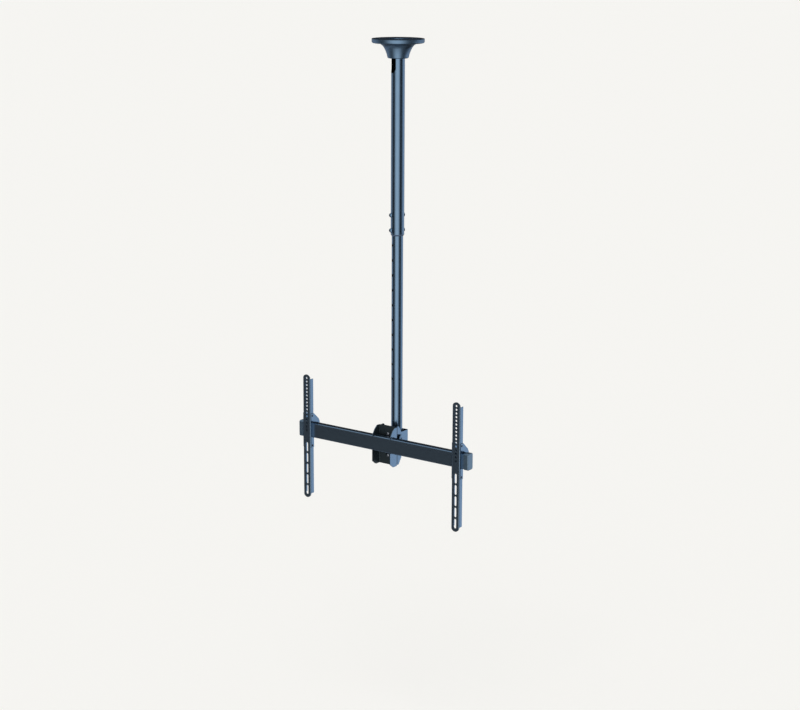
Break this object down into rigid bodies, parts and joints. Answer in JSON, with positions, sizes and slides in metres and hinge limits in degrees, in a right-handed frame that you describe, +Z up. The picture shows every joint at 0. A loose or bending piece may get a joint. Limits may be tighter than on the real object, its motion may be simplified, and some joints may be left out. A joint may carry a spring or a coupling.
{
  "type": "tv ceiling mount",
  "caption": "Telescopic ceiling pole mount for a flat screen, with a bell flange, pinned height adjustment, swivel and tilt head, cross rail and two slotted hook-on arms.",
  "frame": {"origin": "centre of the flange face that meets the ceiling, on the pole's axis", "axes": "+Z up along the pole, the screen faces -Y, +X along the rail"},
  "size_m": [0.68, 0.1812, 1.536],
  "materials": {
    "slate_paint": "semi-gloss slate blue powder coat",
    "dark_steel": "blackened steel fasteners",
    "dark_plastic": "fine matt"
  },
  "bodies": {
    "ceiling": {"ceiling_flange": "slate_paint", "flange_grub_screws": "dark_steel", "outer_tube": "slate_paint", "tube_top_ring": "slate_paint", "guide_bush": "dark_plastic", "pole_bolts": "dark_steel", "pole_bolt_nuts": "dark_steel"},
    "inner_pole": {"inner_tube": "slate_paint", "top_guide_ring": "dark_plastic", "pole_end_ring": "slate_paint", "pole_end_screws": "dark_steel"},
    "head": {"swivel_sleeve": "slate_paint", "swivel_lock_screws": "dark_steel", "bearing_washer": "dark_plastic", "yoke_bracket": "slate_paint", "tilt_bolts": "dark_steel", "tilt_stop_bolts": "dark_steel", "tilt_nuts": "dark_steel"},
    "carriage": {"tilt_bracket": "slate_paint", "rail_cradle": "slate_paint", "bracket_bolts": "dark_steel", "bracket_nuts": "dark_steel", "rail_tube": "slate_paint", "left_end_cap": "dark_plastic", "right_end_cap": "dark_plastic"},
    "left_arm": {"left_arm_channel": "slate_paint", "left_hook_bracket": "slate_paint", "left_arm_rivets": "dark_steel", "left_arm_lock_screw": "dark_steel"},
    "right_arm": {"right_arm_channel": "slate_paint", "right_hook_bracket": "slate_paint", "right_arm_rivets": "dark_steel", "right_arm_lock_screw": "dark_steel"}
  },
  "joints": [
    {"name": "pole_slide", "type": "slide", "parent": "ceiling", "child": "inner_pole", "axis": [0, 0, 1], "range_m": [0, 0.294]},
    {"name": "swivel", "type": "hinge", "parent": "inner_pole", "child": "head", "pos_m": [0, 0, -1.302], "axis": [0, 0, 1], "continuous": true},
    {"name": "tilt", "type": "hinge", "parent": "head", "child": "carriage", "pos_m": [0, -0.027, -1.2875], "axis": [1, 0, 0], "range_deg": [-5, 15]},
    {"name": "left_arm_slide", "type": "slide", "parent": "carriage", "child": "left_arm", "axis": [1, 0, 0], "range_m": [0, 0.2]},
    {"name": "right_arm_slide", "type": "slide", "parent": "carriage", "child": "right_arm", "axis": [-1, 0, 0], "range_m": [0, 0.2]}
  ]
}
